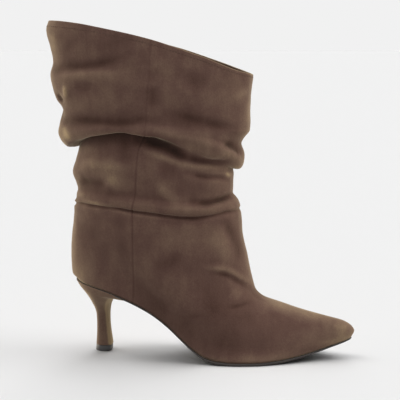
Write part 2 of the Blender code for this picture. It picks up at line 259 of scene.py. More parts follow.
def makeSuede():
    made, tree, shader, place = startMaterial("brownSuede")
    nap = put(tree, "ShaderNodeGroup", {"node_tree": napGroup}, Vector=place, Mottle=32.0, Streak=85.0, Fibre=700.0)
    # the "nap" attribute holds the nap's tone together with painted shade and painted highlight
    brushed = put(tree, "ShaderNodeAttribute", {"attribute_name": "nap"})
    base = calc(tree, "MULTIPLY_ADD", nap.outputs["Tone"], suedeLook["mottle"], 0.5)
    tone = calc(tree, "ADD", brushed.outputs["Fac"], base, clamp=True)
    paint(tree, shader, tone, suedeLook["stops"], nap.outputs["Height"], suedeLook["bump"], suedeLook["depth"])
    feed(tree, shader, Roughness=0.95, Specular_IOR_Level=0.15, Sheen_Weight=suedeLook["sheen"],
         Sheen_Roughness=suedeLook["sheenRough"], Sheen_Tint=suedeLook["sheenTint"])
    return made


# share of the tone and its level, strength and depth of the bump
smoothLook = {"leather": (0.45, 0.5, 0.22, 0.0005), "moulded": (0.5, 0.4, 0.15, 0.0004)}


def makeSmooth(name, kind, dark, pale, grain, scuffScale=35.0):
    made, tree, shader, place = startMaterial(name)
    scuff = put(tree, "ShaderNodeGroup", {"node_tree": scuffGroup}, Vector=place, Grain=grain, Scuff=scuffScale)
    share, level, strength, depth = smoothLook[kind]
    mottling = scuff
    if kind == "leather":
        mottling = put(tree, "ShaderNodeGroup", {"node_tree": napGroup}, Vector=place,
                       Mottle=45.0, Streak=160.0, Fibre=1100.0)
        feed(tree, shader, Specular_IOR_Level=0.25)
    tone = calc(tree, "MULTIPLY_ADD", mottling.outputs["Tone"], share, level, clamp=True)
    paint(tree, shader, tone, ((0.1, dark), (0.9, pale)), scuff.outputs["Height"], strength, depth)
    feed(tree, shader, Roughness=scuff.outputs["Roughness"])
    return made


def makeThread():
    made, tree, shader, place = startMaterial("brownThread")
    twist = put(tree, "ShaderNodeTexWave", {"wave_type": "BANDS", "bands_direction": "DIAGONAL"},
                Vector=place, Scale=900.0, Distortion=1.0).outputs["Fac"]
    paint(tree, shader, twist, ((0.0, (0.045, 0.026, 0.020)), (1.0, (0.115, 0.074, 0.056))), twist,
          strength=0.3, depth=0.0001)
    feed(tree, shader, Roughness=0.9, Specular_IOR_Level=0.1)
    return made


suede = makeSuede()
lining = makeSmooth("liningLeather", "leather", (0.075, 0.048, 0.034), (0.150, 0.102, 0.072), 700.0)
facing = makeSmooth("facingLeather", "leather", (0.026, 0.016, 0.012), (0.060, 0.040, 0.029), 900.0)
sockLeather = makeSmooth("sockLeather", "leather", (0.115, 0.078, 0.053), (0.205, 0.145, 0.100), 800.0)
resin = makeSmooth("soleResin", "moulded", (0.022, 0.017, 0.015), (0.048, 0.038, 0.033), 1200.0, 70.0)
rubber = makeSmooth("tipRubber", "moulded", (0.041, 0.039, 0.039), (0.094, 0.090, 0.089), 1500.0, 120.0)
thread = makeThread()
print("materials made")


# Curves and loops that the shapes are drawn with

def through(at, knots, values):
    # A smooth curve through the rows of a table that never swings past them.
    knots, values, at = np.asarray(knots, float), np.asarray(values, float), np.atleast_1d(at)
    spread = (slice(None),) + (None,) * (values.ndim - 1)
    step = np.diff(knots)[spread]
    rise = np.diff(values, axis=0) / step
    before, after = rise[:-1], rise[1:]
    sameWay = before * after > 0
    weightBefore, weightAfter = 2 * step[1:] + step[:-1], step[1:] + 2 * step[:-1]
    weighed = weightBefore / np.where(sameWay, before, 1.0) + weightAfter / np.where(sameWay, after, 1.0)
    mean = np.where(sameWay, (weightBefore + weightAfter) / weighed, 0.0)
    slope = np.concatenate([rise[:1], mean, rise[-1:]])
    row = np.clip(np.searchsorted(knots, at, side="right") - 1, 0, len(knots) - 2)
    width = np.diff(knots)[row]
    part = ((at - knots[row]) / width)[spread]
    width = width[spread]
    rest = 1 - part
    ends = values[row] * (1 + 2 * part) * rest ** 2 + values[row + 1] * (1 + 2 * rest) * part ** 2
    bends = (slope[row] * rest - slope[row + 1] * part) * width * part * rest
    return ends + bends


def unit(vectors):
    return vectors / np.maximum(np.linalg.norm(vectors, axis=-1, keepdims=True), 1e-9)


def outward(grid):
    roundRun = np.roll(grid, -1, axis=1) - np.roll(grid, 1, axis=1)
    return unit(np.cross(roundRun, np.gradient(grid, axis=0)))


def knotsAlong(loops):
    # How far each loop of a stack, or each point of a line, is from the first.
    steps = np.linalg.norm(np.diff(loops, axis=0), axis=-1)
    return np.r_[0, np.cumsum(steps.mean(axis=1) if steps.ndim > 1 else steps)]


def ringFaces(first, second, around, flip=False):
    # Quads between two loops that stand anywhere in the list of points.
    i = np.arange(around)
    j = (i + 1) % around
    quads = np.stack([first + i, first + j, second + j, second + i], axis=1)
    return (quads[:, ::-1] if flip else quads).tolist()


def bandFaces(rows, around, start=0, flip=False):
    # Quads between neighbouring loops of a stack.
    firsts = [start + row * around for row in range(rows - 1)]
    return [quad for first in firsts for quad in ringFaces(first, first + around, around, flip)]


def halvingFaces(fine, coarse, around, flip=False):
    # Joins a loop to one with half as many points.
    faces = []
    for i in range(around // 2):
        a, b, c = fine + 2 * i, fine + 2 * i + 1, fine + (2 * i + 2) % around
        d, e = coarse + i, coarse + (i + 1) % (around // 2)
        faces += [(a, b, d), (b, e, d), (b, c, e)]
    return [face[::-1] for face in faces] if flip else faces


def joinBoot(name, mesh, replaced=None):
    piece = addObject(name, mesh)
    lit["boot"].objects.link(piece)
    if name in light["lowPieces"]:
        lit["low"].objects.link(piece)
    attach(piece, "root")
    if replaced:
        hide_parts(replaced)
    print(name + ":", len(mesh.polygons), "faces")


def addPiece(name, points, faces, material, slotName, replaced=None, sharp=None, attributes=None):
    mesh = bpy.data.meshes.new(name)
    mesh.from_pydata(toMetres(points).tolist(), [], faces)
    body = bmesh.new()
    body.from_mesh(mesh)
    bmesh.ops.recalc_face_normals(body, faces=body.faces)
    body.to_mesh(mesh)
    body.free()
    mesh.shade_smooth()
    if sharp:
        mesh.set_sharp_from_angle(angle=math.radians(sharp))
    for key, values in (attributes or {}).items():
        mesh.attributes.new(key, "FLOAT", "POINT").data.foreach_set("value", np.asarray(values, np.float32))
    mesh.materials.append(material)
    joinBoot(name, mesh, replaced)


# The sole: outline, arch and toe spring

sole = {
    "heelBack": 4, "toeTip": 252, "heelRound": 25, "toeRound": 4.5, "toeSwing": 5, "swingStart": 100,
    "edge": 0.6, "gap": 0.3, "seatThick": 1, "treadThick": 2.2, "seatEnd": 100, "treadStart": 140,
    "treadAtHeel": 66.4, "treadAtToe": 16.8, "treadEnd": 185, "toeThick": 1,
    "stations": (   # along, half width outside and inside, height of the tread
        (18, 21.8, 21.8, 63.4), (34, 26.2, 26, 59.4), (50, 27.4, 26, 53.6), (64, 27.6, 24.8, 47.4),
        (78, 28.2, 24.2, 39.6), (90, 29.6, 24.8, 30.9), (102, 32, 26.8, 20.5), (113, 34.6, 29.4, 11.2),
        (124, 36.4, 32, 4), (136, 38.6, 35, 0.9), (152, 39, 37.4, 0), (170, 36.6, 36.8, 0),
        (186, 31.4, 32.6, 0.8), (202, 24.6, 26.2, 2.9), (220, 16.6, 18, 7), (238, 9.6, 10.4, 12.2)),
}
stations = np.array(sole["stations"], float)
soleLength = sole["toeTip"] - sole["heelBack"]


def treadAt(along):
    knots = np.r_[sole["heelBack"], stations[:, 0], sole["toeTip"]]
    return through(along, knots, np.r_[sole["treadAtHeel"], stations[:, 3], sole["treadAtToe"]])


def soleTop(along):
    growing = np.clip((along - sole["seatEnd"]) / (sole["treadStart"] - sole["seatEnd"]), 0, 1)
    thinning = np.clip((along - sole["treadEnd"]) / (sole["toeTip"] - sole["treadEnd"]), 0, 1)
    thick = sole["seatThick"] + (sole["treadThick"] - sole["seatThick"]) * growing
    return treadAt(along) + thick - (sole["treadThick"] - sole["toeThick"]) * thinning


def restLine(along):
    # The level just over the sole, where the upper ends and the sock lies.
    return soleTop(np.clip(along, sole["heelBack"], sole["toeTip"])) + sole["gap"]


def middleLine(along):
    part = np.maximum((along - sole["swingStart"]) / (sole["toeTip"] - sole["swingStart"]), 0)
    return sole["toeSwing"] * part ** 2


def bySide(angles, outer, inner):
    return np.where(np.sin(angles) >= 0, outer, inner)


def fullness(share, angles):
    # The half width that an oval of the sole's length would have.
    shares = (stations[:, 0] - sole["heelBack"]) / soleLength
    atHeel, atToe = (math.sqrt(sole[key] * soleLength / 2) for key in ("heelRound", "toeRound"))
    full = stations[:, 1:3] / np.sqrt(4 * shares * (1 - shares))[:, None]
    sides = (np.r_[atHeel, full[:, side], atToe] for side in (0, 1))
    return bySide(angles, *(through(share, np.r_[0, shares, 1], side) for side in sides))


def soleHalf(along, angles):
    share = np.clip((along - sole["heelBack"]) / soleLength, 0, 1)
    return fullness(share, angles) * np.sqrt(4 * share * (1 - share))


def evenAngles(count):
    return np.arange(count) * 2 * math.pi / count


def soleOutline(count, inset):
    angles = evenAngles(count)
    along = sole["heelBack"] + soleLength * (1 - np.cos(angles)) / 2
    across = middleLine(along) - np.sign(np.sin(angles)) * soleHalf(along, angles)
    run = unit(np.stack([np.roll(line, -1) - np.roll(line, 1) for line in (along, across)], axis=1))
    return np.stack([along - inset * run[:, 1], across + inset * run[:, 0]], axis=1)


# The upper: loops from the feather edge to the collar

upper = {
    "around": 232, "step": 1.2, "suede": 1.2, "rim": 0.7, "rimTurns": (36, 72, 108, 144, 180), "innerSoftness": 6,
    # the foot is pulled smooth over the last, except along its ridge and at the toe
    "footRows": 10, "footDegrees": (10, 40, 140, 165), "footAlong": (-50, -40, 180, 225), "footTimes": (140, 40),
    # other places that settle: loops, degrees from the back, times along the wall and times round it
    "settling": (
        (("bulge", "highBulge", "lipEdge", "lip"), (88, 106, 148, 172), 70, 0),  # the lip before the seam
        (("lipEdge", "lip", "trough", "backFold"), (14, 30, 84, 104), 90, 0),  # the roll over it, behind
        (("highBulge", "pocket", "lipEdge", "lip"), (36, 56, 84, 112), 0, 16),  # its edge, one even arch
        (("ankle", "highAnkle", "open", "end"), (-20, -10, 4, 15), 0, 36),  # folds round the back
        (("ankle", "highAnkle", "open", "end"), (165, 176, 190, 200), 0, 36)),  # folds round the front
    # degrees from the back where each begins, is full, fades and ends
    "ownFolds": (3, 12, 168, 177), "innerSide": (3, 50, 130, 177), "frontEdge": (70, 112, 172, 181),
    "shadeBack": (-20, -10, 26, 44), "shadeEarly": (30, 60, 190, 200), "shadeSide": (-20, -10, 84, 110),
    "shadeRows": 3,
    # sizes and shares of the ripple, its height, and where the suede hangs limp
    "ripple": ((21, 1.0), (9, 0.5)), "rippleHeight": 0.6, "limpFrom": 70, "limpOver": 60, "limpLeast": 0.2,
    # pulled in at the feather edge
    "featherIn": 0.5, "featherHeight": 1.6, "featherRows": 12,
    # painted highlight on ridges and painted shade in troughs, partly rubbed wear: spread, strength, darkest,
    # palest
    "bumpSpread": 24, "bumpTone": 0.12, "bumpDarkest": -0.22, "bumpPalest": 0.16,
    # painted shade under the lip, and how much lighter the turned edge is, more so towards the front
    "underLipShade": -0.36, "edgeTone": 0.04, "frontEdgeTone": 0.24,
    # the inner side: its lifts, how far they and the folds lie further round, how much weaker folds and the patches
    # of nap and painted light are
    "innerLift": 0.85, "innerTurn": 10.0, "foldTurn": 9, "foldFade": 0.2, "patchFade": 0.7,
    "liftAngles": (0, 30, 60, 90, 120, 150, 180), "lipAngles": (0, 15, 30, 45, 60, 75, 90, 120, 150, 180),
    # name, back x and z, front x and z, half width outside and inside, lifts between back and front, and on the
    # foot its share of the sole's sag and of a plain oval
    "loops": (
        ("feather", 4.6, 68.6, 251.9, 18.4, 38, 38, (), 1, 0),
        ("toeNose", 0, 72.8, 254.3, 23.6, 38, 38, (), 0.96, 0.03),
        ("toeTop", -0.7, 81, 252.4, 27.6, 38, 38, (), 0.91, 0.08),
        ("toeBox", -0.9, 88, 245.5, 32.3, 38, 38, (), 0.84, 0.15),
        ("lowVamp", -0.8, 96, 229, 36.7, 38, 38, (), 0.75, 0.27),
        ("vamp", -0.3, 103.5, 210, 41.6, 38, 38, (), 0.65, 0.4),
        ("highVamp", 0.2, 110, 191, 47.4, 38, 38, (), 0.54, 0.53),
        ("instep", 1, 115.5, 175.5, 52.2, 38, 38, (), 0.43, 0.66),
        ("throat", 1.6, 119.5, 166.2, 60.2, 38.2, 37.8, (), 0.32, 0.77),
        ("highThroat", 2, 122.5, 162.6, 72.5, 38.6, 38, (), 0.22, 0.86),
        ("ankle", 2.3, 125.5, 158.8, 91, 39, 38.4, (), 0.13, 0.93),
        ("highAnkle", 2.4, 128.5, 154.7, 112, 39, 38.4, (1.2, 1, -0.6, -2, -0.4), 0.05, 0.98),
        ("underCrease", 2.3, 132, 153.3, 129.2, 38.9, 38.2, (3, 2.5, -1.2, -4.3, -0.9)),
        ("crease", 4, 135, 151.8, 133.4, 36.6, 36, (3, 2.5, -1.2, -4.3, -0.9)),
        ("rollFoot", 2.7, 136.8, 152.7, 135.6, 38.9, 38.2, (3, 2.5, -1.2, -4.3, -0.9)),
        ("roll", 4.2, 139.8, 150.8, 140.4, 39.2, 38.4, (2.9, 2.4, -1.2, -4.4, -1.4)),
        ("rollTop", 5.2, 143.2, 148, 144.8, 38, 37.2, (2.7, 1.8, -1, -4.4, -2.8)),
        ("tuck", 6.2, 146.8, 146.4, 147.6, 36.8, 36, (2.6, 1.6, -0.8, -4.2, -3.6)),
        ("lowBulge", 4.4, 152.8, 146, 151.2, 38.2, 37.4, (3.2, 4.2, 3, -0.8, -2.2)),
        ("bulge", 1.6, 163, 146.2, 156.8, 39.8, 38.8, (4.4, 10.4, 11.4, 5, 1)),
        ("highBulge", 4.8, 174, 146.4, 162.2, 38.6, 37.8, (4.6, 15.6, 18.2, 10.4, 4.2)),
        ("pocket", 7.8, 185.4, 145.4, 167.8, 35.6, 35, (4.6, 10.4, 15.8, 20.8, 24.2, 22.6, 14, 6.5)),
        ("lipUnder", 3.2, 184.4, 149, 166.6, 38.6, 37.8, (4.6, 10.4, 15.8, 20.8, 24.2, 22.6, 14, 6.5)),
        ("lipFoot", -2, 184.6, 152, 167, 41.4, 40.4, (4.4, 9.3, 14.8, 20.2, 24.2, 22.6, 14, 6.5)),
        ("lipEdge", -7.2, 189.4, 154.6, 171, 43.2, 42, (3.2, 7.6, 12.4, 17.4, 21.2, 20.3, 13.6, 6.3)),
        ("lip", -10.3, 199, 155.8, 179.6, 43.6, 42.4, (2, 10.8, 15.4, 11.2, 5)),
        ("frontNotch", -9.3, 206.4, 152.8, 189.8, 42.4, 41.2, (-0.6, 4.9, 9.7, 7.4, 2.9)),
        ("trough", -6.3, 222.8, 160.4, 202.6, 40.4, 39.4, (-6.4, -7.4, -2.2, -0.2, -0.5)),
        ("backFold", -13.1, 231.8, 160.9, 211, 41.4, 40.4, (-4, -4.4, 0.2, 0.8, 0)),
        ("backRidge", -17.2, 250.4, 161, 225, 41.6, 40.6, (-2.4, -0.4, 3.4, 2.4, 0.6)),
        ("bandNotch", -14.2, 262.4, 161.3, 233, 40, 39.2, (-1.8, 3, 6.4, 3.6, 0.8)),
        ("band", -17.2, 275, 162, 240.6, 39.4, 38.6, (0.4, 5.2, 7.4, 4.2, 1)),
        ("highBand", -20.4, 288.4, 162.8, 246.6, 38.2, 37.5, (2.8, 6.8, 8.6, 5.4, 1)),
        ("collar", -18.2, 295.2, 163, 249.6, 37.6, 37, (3.8, 7.6, 9.3, 6.1, 1.1))),
    # lifts of the inner side, where they are its own
    "innerLifts": {"highBand": (1.4, 5, 5.4, 3, 0.7), "collar": (2, 5.5, 5.4, 2.9, 0.7)},
}


def liftAt(degrees, lifts):
    # The lip's arched edge has its lifts at closer angles than the other loops.
    knots = upper["liftAngles"] if len(lifts) + 2 == len(upper["liftAngles"]) else upper["lipAngles"]
    return through(degrees, knots, np.r_[0, lifts, 0])


def loopPoints(loop, angles):
    name, back, backZ, front, frontZ, outer, inner, lifts, *foot = loop
    sagShare, oval = foot or (0.0, 1.0)
    share = (1 - np.cos(angles)) / 2
    sine = np.sin(angles)
    along = back + (front - back) * share
    soleAlong = sole["heelBack"] + soleLength * share
    heelTop, toeTop = soleTop(sole["heelBack"]), soleTop(sole["toeTip"])
    sag = sagShare * (soleTop(soleAlong) - heelTop - (toeTop - heelTop) * share)
    degrees = np.degrees(angles)
    innerDegrees = np.clip(360 - degrees + upper["innerTurn"] * sine, 0, 180)
    lifts = np.array(lifts or (0.0,) * 5)
    innerLifts = upper["innerLifts"].get(name, lifts * upper["innerLift"])
    lift = bySide(angles, liftAt(np.clip(degrees, 0, 180), lifts), liftAt(innerDegrees, innerLifts))
    footHalf = fullness(share, angles) - sole["edge"]
    half = footHalf + (bySide(angles, outer, inner) - footHalf) * oval
    return np.stack([along, middleLine(along) - half * sine, backZ + (frontZ - backZ) * share + sag + lift], axis=1)


# Side seams, as x at each height; the inner one mirrors the outer one
seam = {
    "heights": (57, 82, 110, 135, 146, 166, 183, 200, 209, 230, 251, 276, 296),
    "along": (60, 61, 62, 62, 64, 66, 67, 74, 75, 76, 78, 79, 80),
    "depth": 0.42, "width": 0.5, "shoulder": 0.10, "shoulderAt": 1.8, "shoulderWidth": 1.0,
    "tone": -0.08, "toneWidth": 0.9, "faint": 0.45, "fading": (196, 206),
    "crowding": 2, "crowdedDegrees": 3.5, "samples": 7201, "nearest": 0.02, "tries": 4,
}


def seamAngle(loop):
    angle = math.pi / 2
    for _ in range(seam["tries"]):
        height = loopPoints(loop, np.array([angle]))[0, 2]
        along = through(height, seam["heights"], seam["along"])[0]
        share = (along - loop[1]) / (loop[3] - loop[1])
        angle = math.acos(1 - 2 * min(max(share, seam["nearest"]), 1 - seam["nearest"]))
    return angle


def columnAngles(count):
    # Closer together at the two side seams, with a column right on each of them.
    fineAngles = np.linspace(0, 2 * math.pi, seam["samples"])
    fromSeam = np.minimum(np.abs(fineAngles - math.pi / 2), np.abs(fineAngles - 1.5 * math.pi))
    density = 1 + seam["crowding"] * np.exp(-(np.degrees(fromSeam) / seam["crowdedDegrees"]) ** 2)
    total = np.r_[0, np.cumsum((density[1:] + density[:-1]) / 2)]
    return np.interp(np.arange(count) / count * total[-1], total, fineAngles)


def degreesFromBack(angles):
    return np.degrees(np.minimum(angles, 2 * math.pi - angles))


def eased(part):
    part = np.clip(part, 0, 1)
    return part * part * (3 - 2 * part)


def window(at, start, full, fading, end):
    # Nothing outside start and end, one between full and fading, with soft shoulders.
    return eased(np.minimum((at - start) / (full - start), (end - at) / (end - fading)))


def relaxed(grid, weight, along, around):
    # Lets the surface settle, first along the wall and then round it.
    for axis, times in ((0, along), (1, around)):
        for _ in range(times):
            middle = (np.roll(grid, 1, axis=axis) + np.roll(grid, -1, axis=axis)) / 2
            grid = grid + 0.5 * weight[:, :, None] * (middle - grid)
    return grid


def upperGrid(angles):
    loops = []
    for loop in upper["loops"]:
        turn = seamAngle(loop) - math.pi / 2
        loops.append(loopPoints(loop, angles + turn * np.sin(angles) * np.abs(np.sin(angles))))
    knots = knotsAlong(loops)
    at = [0.0]
    mark = {}
    for loop, start, length in zip(upper["loops"][1:], knots, np.diff(knots)):
        parts = math.ceil(length / upper["step"])
        at += [start + length * (i + 1) / parts for i in range(parts)]
        mark[loop[0]] = len(at) - 1
    mark["open"], mark["end"] = len(at) + 10, len(at) + 20     # past the collar, so that nothing fades there
    grid = through(at, knots, loops)
    row = np.arange(len(grid))[:, None]
    fromBack = degreesFromBack(angles)[None]
    foot = window(row, 0, upper["footRows"], mark["highThroat"], mark["highAnkle"])
    foot = foot * window(fromBack, *upper["footDegrees"]) * window(grid[:, :, 0], *upper["footAlong"])
    grid = relaxed(grid, foot, *upper["footTimes"])
    for names, degrees, along, around in upper["settling"]:
        weight = window(row, *(mark[name] for name in names)) * window(fromBack, *degrees)
        grid = relaxed(grid, weight, along, around)
    grid[0, :, 2] = restLine(grid[0, :, 0])
    # the shade under the lip reaches further out where the lip hangs over the back
    atBack = window(fromBack, *upper["shadeBack"])
    early = mark["highBulge"] - upper["shadeRows"]
    late = 1 - window(fromBack, *upper["shadeEarly"])
    begin = early + late * (mark["pocket"] - mark["highBulge"] - upper["shadeRows"])
    full = mark["lipUnder"] + atBack * (mark["lipFoot"] - mark["lipUnder"])
    shaded = window(row, begin, mark["pocket"] - 1, full, mark["lipFoot"] + 1 + atBack)
    return grid, shaded * window(fromBack, *upper["shadeSide"])


# Folds that run round the boot, drawn in side view: x and z of the points, half width, depth (minus) or height
# (plus), and how much darker (minus) or lighter (plus) it is painted there: painted shade in troughs and under the
# lip, painted highlight on ridges and edges, partly the way the nap lies
creases = (
    # band under the collar
    ((-7, 254, 3, 256, 17, 257, 31, 259, 43, 262, 55, 265), 4.6, -1.7, -0.13),
    ((-5, 248, 7, 250, 22, 251, 40, 251, 58, 250), 5, 1.1, 0.06),
    ((-12, 289, -9, 278, -6, 268), 4.5, 0.3, 0.16),
    ((9, 243, 17, 240, 30, 238), 6, -1.3, -0.05),
    ((11, 224, 35, 226, 57, 227, 70, 230), 8, 0.6, 0.04),
    ((79, 244, 81, 234, 83, 222), 6.5, -0.8, -0.18),
    ((83, 265, 91, 255, 102, 249), 8, 0.6, 0.07),
    ((106, 252, 116, 247, 126, 240), 9, -0.6, -0.12),
    # roll over the lip
    ((3, 210, 20, 212, 39, 211, 57, 211, 73, 213, 84, 213), 4.6, -2, -0.15),
    ((10, 199, 24, 203, 40, 207, 58, 208, 73, 204), 3.4, 0.5, -0.03),
    ((-9, 206, -5, 200, 1, 192), 6, 0.5, 0.07),
    ((91, 219, 106, 216, 122, 212, 138, 207, 153, 202), 5, -1.7, -0.17),
    ((76, 206, 87, 206, 100, 204, 116, 201, 132, 198, 151, 195), 5.2, 1.3, 0.05),
    ((114, 194, 130, 191, 146, 194), 7, 0.9, 0.06),
    # under the lip
    ((70, 196, 80, 195, 89, 192, 97, 188, 105, 183, 113, 180), 5.4, -2.6, -0.41),
    ((108, 181, 120, 178, 134, 177, 148, 177), 3.2, -1.6, -0.15),
    ((71, 189, 78, 186, 87, 182, 99, 178, 114, 174, 129, 172, 142, 171), 3.4, 1.2, 0.10),
    # middle tier
    ((13, 171, 29, 174, 47, 174, 64, 173), 5, 1.2, 0.10),
    ((9, 157, 21, 157, 31, 157, 42, 154), 5.2, -1.9, -0.15),
    ((2, 146, 10, 146, 20, 145), 3.4, 0.8, 0.08),
    ((85, 171, 102, 169), 7, -0.4, -0.13),
    ((114, 142, 125, 141, 136, 143, 147, 148), 2.6, -1.9, -0.20),
    ((89, 138, 108, 136, 124, 136, 138, 139, 149, 141), 3.4, 1.1, 0.04),
    ((16, 141, 32, 139, 51, 136), 1.8, 0.6, 0.20),
    # ankle and instep
    ((78, 129, 103, 127, 132, 127), 3.6, -0.5, -0.12),
    ((123, 86, 142, 82, 149, 77, 158, 70, 163, 64), 2.8, 1.1, 0.13),
    ((131, 81, 144, 77, 152, 71, 161, 64), 2.4, -1.2, -0.16),
    ((138, 127, 145, 115, 150, 102, 154, 85), 4, -0.9, -0.13),
    ((128, 120, 136, 107, 143, 91), 8, 0.9, 0.13),
    ((6, 127, 4, 103, 3, 79), 3.6, 0, 0.14),
    ((144, 64, 155, 57), 5, 0.6, 0.09),
    ((169, 55, 186, 48, 208, 41, 231, 35), 5, 0, 0.26),
    ((234, 30, 248, 24), 7, 0, 0.18),
)

# Folds that only the outer side has, with their painted shade and painted highlight
outerCreases = (
    ((160, 232, 160, 219, 159, 205), 3.4, 0.3, 0.18),
    ((-2, 207, 1, 201, 6, 193), 3.4, 0.5, 0.28),
    ((10, 146, 18, 145), 3, 0.3, 0.12),
    ((2, 242, 3, 236, 3, 230), 2.3, 1.7, 0.26),
    ((-8, 234, -5, 230, -1, 226), 2.6, -2.2, -0.26),
    ((146, 230, 152, 234, 159, 238), 3.4, 0.7, 0.08),
    ((137, 194, 145, 190, 151, 185, 154, 179), 2.6, -2.2, -0.24),
    ((120, 185, 133, 184, 145, 181), 4.6, 1.2, 0.02),
    ((140, 171, 147, 170, 153, 170), 2, 0.4, 0.24),
    ((37, 163, 53, 161), 8, 0.6, 0.09),
    ((110, 168, 124, 164, 135, 163, 145, 158), 2.3, -1.4, -0.14),
    ((140, 167, 144, 162), 2, 0.8, 0.26),
    ((83, 164, 89, 153, 98, 145, 112, 140), 5, 1.2, 0.14),
    ((81, 81, 90, 88, 101, 96, 104, 102), 7, -0.6, -0.10),
    ((143, 50, 154, 51, 162, 53), 1.7, -0.7, -0.12),
    ((108, 42, 124, 45), 2.2, -0.4, -0.06),
)

# Folds that only the inner side has, with their painted shade and painted highlight
innerCreases = (
    ((20, 237, 40, 231, 62, 234), 5, -1.2, -0.10),
    ((94, 247, 112, 239, 124, 226), 6, 0.8, 0.07),
    ((60, 161, 85, 154, 112, 158), 5, -1.4, -0.12),
    ((38, 150, 56, 158, 68, 167), 5, 1, 0.08),
    ((100, 112, 118, 104, 132, 90), 6, 0.8, 0.08),
    ((28, 97, 44, 89, 60, 84), 7, -0.5, -0.06),
)

# Where the surface is painted lighter (plus) or darker (minus) in side view, partly as the nap lies and partly
# painted highlight and painted shade: x, z, half length, half height, tone
lightAndNapPatches = (
    (46, 125, 8, 5, -0.09), (22, 113, 10, 9, -0.07), (44, 103, 10, 9, -0.07), (30, 65, 17, 10, 0.06),
    (58, 181, 12, 8, -0.13), (44, 166, 16, 10, 0.09), (71, 66, 9, 10, -0.10), (85, 51, 10, 9, -0.10),
    (128, 36, 28, 20, -0.17), (150, 18, 26, 9, -0.11), (164, 28, 23, 10, 0.05), (99, 110, 19, 10, 0.06),
    (69, 114, 9, 14, -0.05), (120, 263, 19, 6, 0.05), (17, 276, 14, 9, -0.05), (53, 276, 16, 10, -0.06),
    (133, 234, 14, 14, 0.06), (35, 234, 16, 9, 0.04), (124, 220, 14, 5, -0.08), (55, 255, 12, 10, 0.04),
    (91, 188, 9, 5, 0.05), (124, 155, 14, 7, -0.06), (69, 145, 14, 6, 0.03), (233, 16, 14, 4, 0.10),
    (181, 12, 35, 3, -0.04), (134, 10, 17, 5, -0.04), (160, 24, 39, 16, -0.16), (146, 109, 10, 30, -0.09),
    (124, 137, 33, 6, -0.05), (108, 210, 19, 6, -0.15), (14, 210, 18, 6, -0.16), (242, 17, 15, 6, 0.20),
    (125, 61, 30, 14, -0.09), (120, 88, 17, 10, -0.06), (50, 141, 12, 7, 0.05), (20, 188, 8, 6, 0.14),
    (138, 189, 10, 6, -0.06), (62, 222, 10, 6, -0.07), (112, 189, 7, 5, 0.16), (132, 179, 8, 4, 0.14),
    (50, 158, 18, 8, 0.07), (136, 126, 12, 4, -0.09), (105, 134, 14, 4, -0.05), (143, 92, 6, 6, 0.09),
    (14, 76, 11, 13, 0.22), (-1, 199, 9, 5, 0.07), (0, 212, 8, 5, -0.12), (-8, 254, 5, 6, -0.20),
    (9, 243, 9, 5, 0.07), (25, 167, 7, 8, 0.07), (132, 49, 10, 8, -0.07), (227, 26, 9, 6, 0.10),
)


# How a fold is laid: spacing of the points along it, reach in half widths, how soon it tapers and to what share
fold = {"spacing": 1.5, "fewest": 6, "reach": 3.2, "taper": 0.3, "endShare": 0.25}


def creaseLift(x, z, folds):
    lift, tone = np.zeros_like(x), np.zeros_like(x)
    for path, width, depth, shade in folds:
        path = np.array(path, float).reshape(-1, 2)
        knots = knotsAlong(path)
        at = np.linspace(0, knots[-1], max(fold["fewest"], int(knots[-1] / fold["spacing"])))
        line = through(at, knots, path)
        low, high = line.min(axis=0) - fold["reach"] * width, line.max(axis=0) + fold["reach"] * width
        near = (x > low[0]) & (x < high[0]) & (z > low[1]) & (z < high[1])
        gaps = (x[near][:, None] - line[:, 0]) ** 2 + (z[near][:, None] - line[:, 1]) ** 2
        part = at[gaps.argmin(axis=1)] / knots[-1]
        strength = fold["endShare"] + (1 - fold["endShare"]) * eased(np.minimum(part, 1 - part) / fold["taper"])
        shape = strength * np.exp(-gaps.min(axis=1) / width ** 2)
        lift[near] += depth * shape
        # painted shade (minus) or painted highlight (plus) along the fold
        tone[near] += shade * shape
    return lift, tone


def bothSides(outerValues, innerValues, angles):
    # What is drawn for the inner side lies a little further round there and is a little weaker.
    half = len(angles) // 2
    turned = np.degrees(2 * math.pi - angles[half + 1:])
    turned = np.clip(turned + upper["foldTurn"] * np.sin(np.radians(turned)), 0, 180)
    place = np.interp(turned, np.degrees(angles[:half + 1]), np.arange(half + 1))
    low = np.floor(place).astype(int)
    part = place - low
    high = np.minimum(low + 1, half)
    taken = innerValues[:, low] * (1 - part) + innerValues[:, high] * part
    return np.concatenate([outerValues, taken * (1 - upper["foldFade"] * np.sin(np.radians(turned)))], axis=1)


def smoothed(values, times):
    for _ in range(times):
        around = (np.roll(values, 1, axis=1) + np.roll(values, -1, axis=1) + 2 * values) / 4
        padded = np.concatenate([around[:1], around, around[-1:]])
        values = (padded[:-2] + padded[2:] + 2 * around) / 4
    return values


